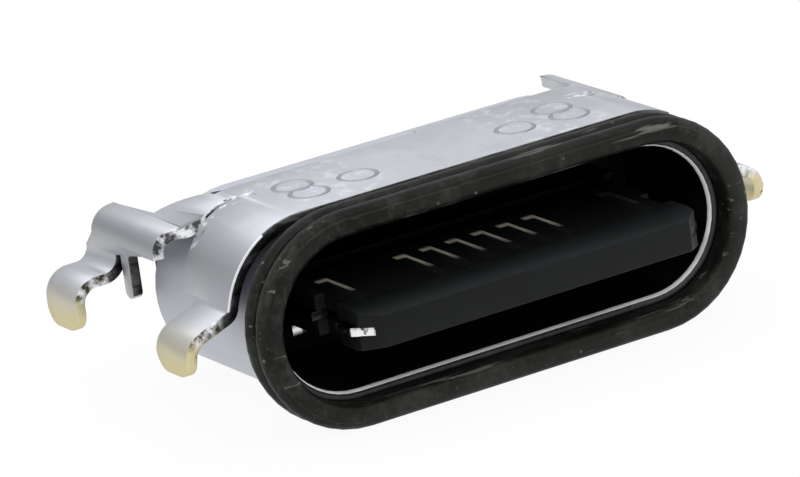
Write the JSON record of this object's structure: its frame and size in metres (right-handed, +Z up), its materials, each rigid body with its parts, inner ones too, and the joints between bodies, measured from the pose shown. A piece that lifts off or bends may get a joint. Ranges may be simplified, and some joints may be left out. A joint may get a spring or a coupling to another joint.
{
  "type": "usb-c socket",
  "caption": "Sealed mid-mount socket: rubber-ringed stadium mouth, tongue with contact strips, drawn shell, formed sheet cover with board legs, and rear solder tails.",
  "frame": {"origin": "centre of the mouth in the plane of the seal's front face", "axes": "+X right along the mouth as seen from in front of it, -Y out of the mouth towards the plug, +Z up, away from the board under the shoulders"},
  "size_m": [0.0112, 0.0071, 0.0036],
  "materials": {
    "cover_sheet": "satin stamped stainless sheet, pale gold plating on the leg tips",
    "shell_steel": "smooth drawn stainless",
    "seal_rubber": "satin moulded silicone rubber",
    "black_moulding": "matt moulded",
    "carrier_moulding": "matt moulded",
    "plate_steel": "bright stamped",
    "contact_gold": "plated, pale gold",
    "sealant": "cured epoxy, semi-gloss"
  },
  "bodies": {
    "root": {"outer_cover": "cover_sheet", "inner_shell": "shell_steel", "front_seal": "seal_rubber", "tongue_moulding": "black_moulding", "upper_carrier": "carrier_moulding", "lower_carrier": "carrier_moulding", "mid_plate": "plate_steel", "upper_ground_plate": "plate_steel", "lower_ground_plate": "plate_steel", "rear_sealant": "sealant", "contact_a1": "contact_gold", "contact_a4": "contact_gold", "contact_a5": "contact_gold", "contact_a6": "contact_gold", "contact_a7": "contact_gold", "contact_a8": "contact_gold", "contact_a9": "contact_gold", "contact_a12": "contact_gold", "contact_b1": "contact_gold", "contact_b4": "contact_gold", "contact_b5": "contact_gold", "contact_b6": "contact_gold", "contact_b7": "contact_gold", "contact_b8": "contact_gold", "contact_b9": "contact_gold", "contact_b12": "contact_gold"}
  },
  "joints": []
}
